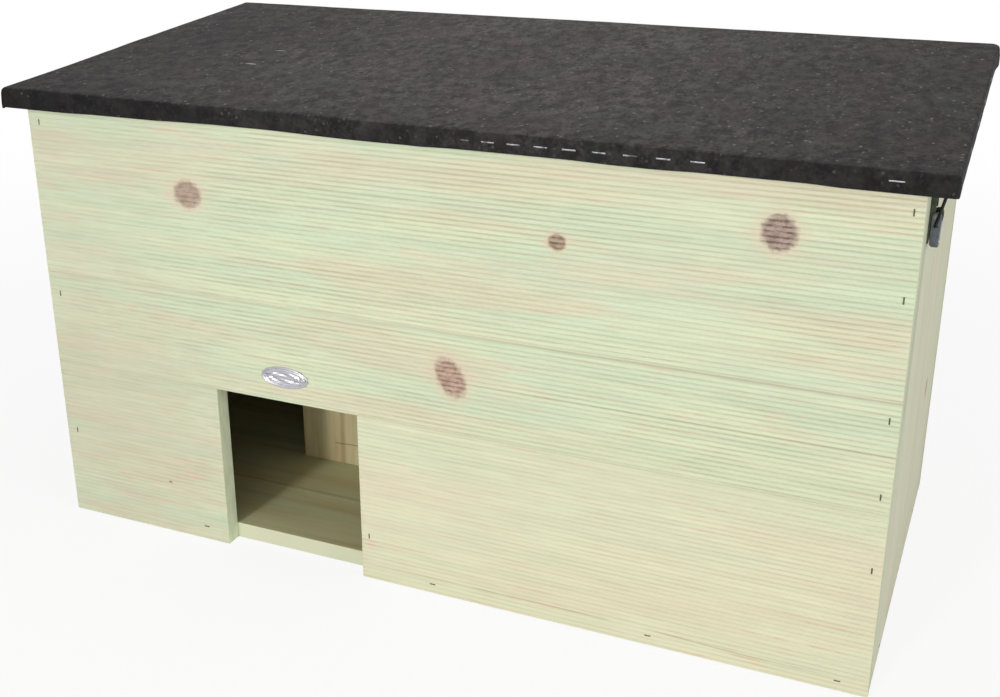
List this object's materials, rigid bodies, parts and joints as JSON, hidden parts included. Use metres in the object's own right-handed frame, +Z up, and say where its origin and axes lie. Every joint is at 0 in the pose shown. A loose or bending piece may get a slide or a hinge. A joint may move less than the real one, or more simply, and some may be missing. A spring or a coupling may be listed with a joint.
{
  "type": "hedgehog house",
  "caption": "Wooden hedgehog house with a ribbed front, a low entrance, an inner partition and a felted lid on rear hinges with side toggle latches.",
  "frame": {"origin": "centre of the box's footprint, on the ground under the floor", "axes": "+Z up, -Y out of the front wall and its entrance, +X to the right seen from the front, along the longest side"},
  "size_m": [0.6312, 0.3105, 0.3537],
  "materials": {
    "ribbed_wood": "planed ribbed pine with a pale green preservative tint",
    "plain_wood": "smooth planed pine with a pale green preservative tint",
    "floor_wood": "smooth planed pine",
    "felt": "mineral roofing felt with dark granules",
    "badge_metal": "satin pressed metal",
    "staple_wire": "galvanised wire",
    "screw_steel": "zinc plated steel",
    "zinc_plate": "zinc plated pressed sheet"
  },
  "bodies": {
    "house": {"front_top_board": "ribbed_wood", "front_middle_board": "ribbed_wood", "front_lower_left_board": "ribbed_wood", "front_lower_right_board": "ribbed_wood", "back_top_board": "plain_wood", "back_middle_board": "plain_wood", "back_lower_board": "plain_wood", "left_wall_front_board": "plain_wood", "left_wall_middle_board": "plain_wood", "left_wall_rear_board": "plain_wood", "right_wall_front_board": "plain_wood", "right_wall_middle_board": "plain_wood", "right_wall_rear_board": "plain_wood", "partition_cross_board": "plain_wood", "partition_side_board": "plain_wood", "floor_front_board": "floor_wood", "floor_middle_board": "floor_wood", "floor_rear_board": "floor_wood", "badge": "badge_metal", "badge_pins": "staple_wire", "front_wall_staples": "staple_wire", "back_wall_staples": "staple_wire", "side_wall_staples": "staple_wire", "partition_staples": "staple_wire", "left_hinge_wall_leaf": "zinc_plate", "left_hinge_pin": "screw_steel", "right_hinge_wall_leaf": "zinc_plate", "right_hinge_pin": "screw_steel", "hinge_wall_screws": "screw_steel", "left_latch_base": "zinc_plate", "left_latch_rivet": "screw_steel", "right_latch_base": "zinc_plate", "right_latch_rivet": "screw_steel", "latch_screws": "screw_steel"},
    "lid": {"lid_board": "plain_wood", "roofing_felt": "felt", "felt_staples": "staple_wire", "left_hinge_lid_leaf": "zinc_plate", "right_hinge_lid_leaf": "zinc_plate", "hinge_lid_screws": "screw_steel", "left_latch_keeper": "zinc_plate", "right_latch_keeper": "zinc_plate", "keeper_screws": "screw_steel"},
    "left_lever": {"left_latch_lever": "zinc_plate"},
    "left_bail": {"left_latch_bail": "screw_steel"},
    "right_lever": {"right_latch_lever": "zinc_plate"},
    "right_bail": {"right_latch_bail": "screw_steel"}
  },
  "joints": [
    {"name": "lid_hinge", "type": "hinge", "parent": "house", "child": "lid", "pos_m": [0, 0.1529, 0.34185], "axis": [-1, 0, 0], "range_deg": [0, 180]},
    {"name": "right_lever_hinge", "type": "hinge", "parent": "house", "child": "right_lever", "pos_m": [0.304, -0.115, 0.29597], "axis": [0, -1, 0], "range_deg": [0, 140]},
    {"name": "right_bail_hinge", "type": "hinge", "parent": "right_lever", "child": "right_bail", "pos_m": [0.3036, -0.115, 0.29097], "axis": [0, 1, 0], "range_deg": [0, 210]},
    {"name": "left_lever_hinge", "type": "hinge", "parent": "house", "child": "left_lever", "pos_m": [-0.304, -0.115, 0.29597], "axis": [0, 1, 0], "range_deg": [0, 140]},
    {"name": "left_bail_hinge", "type": "hinge", "parent": "left_lever", "child": "left_bail", "pos_m": [-0.3036, -0.115, 0.29097], "axis": [0, -1, 0], "range_deg": [0, 210]}
  ],
  "couplings": [
    {"joint": "right_bail_hinge", "follows": "right_lever_hinge", "ratio": 1.5},
    {"joint": "left_bail_hinge", "follows": "left_lever_hinge", "ratio": 1.5}
  ]
}
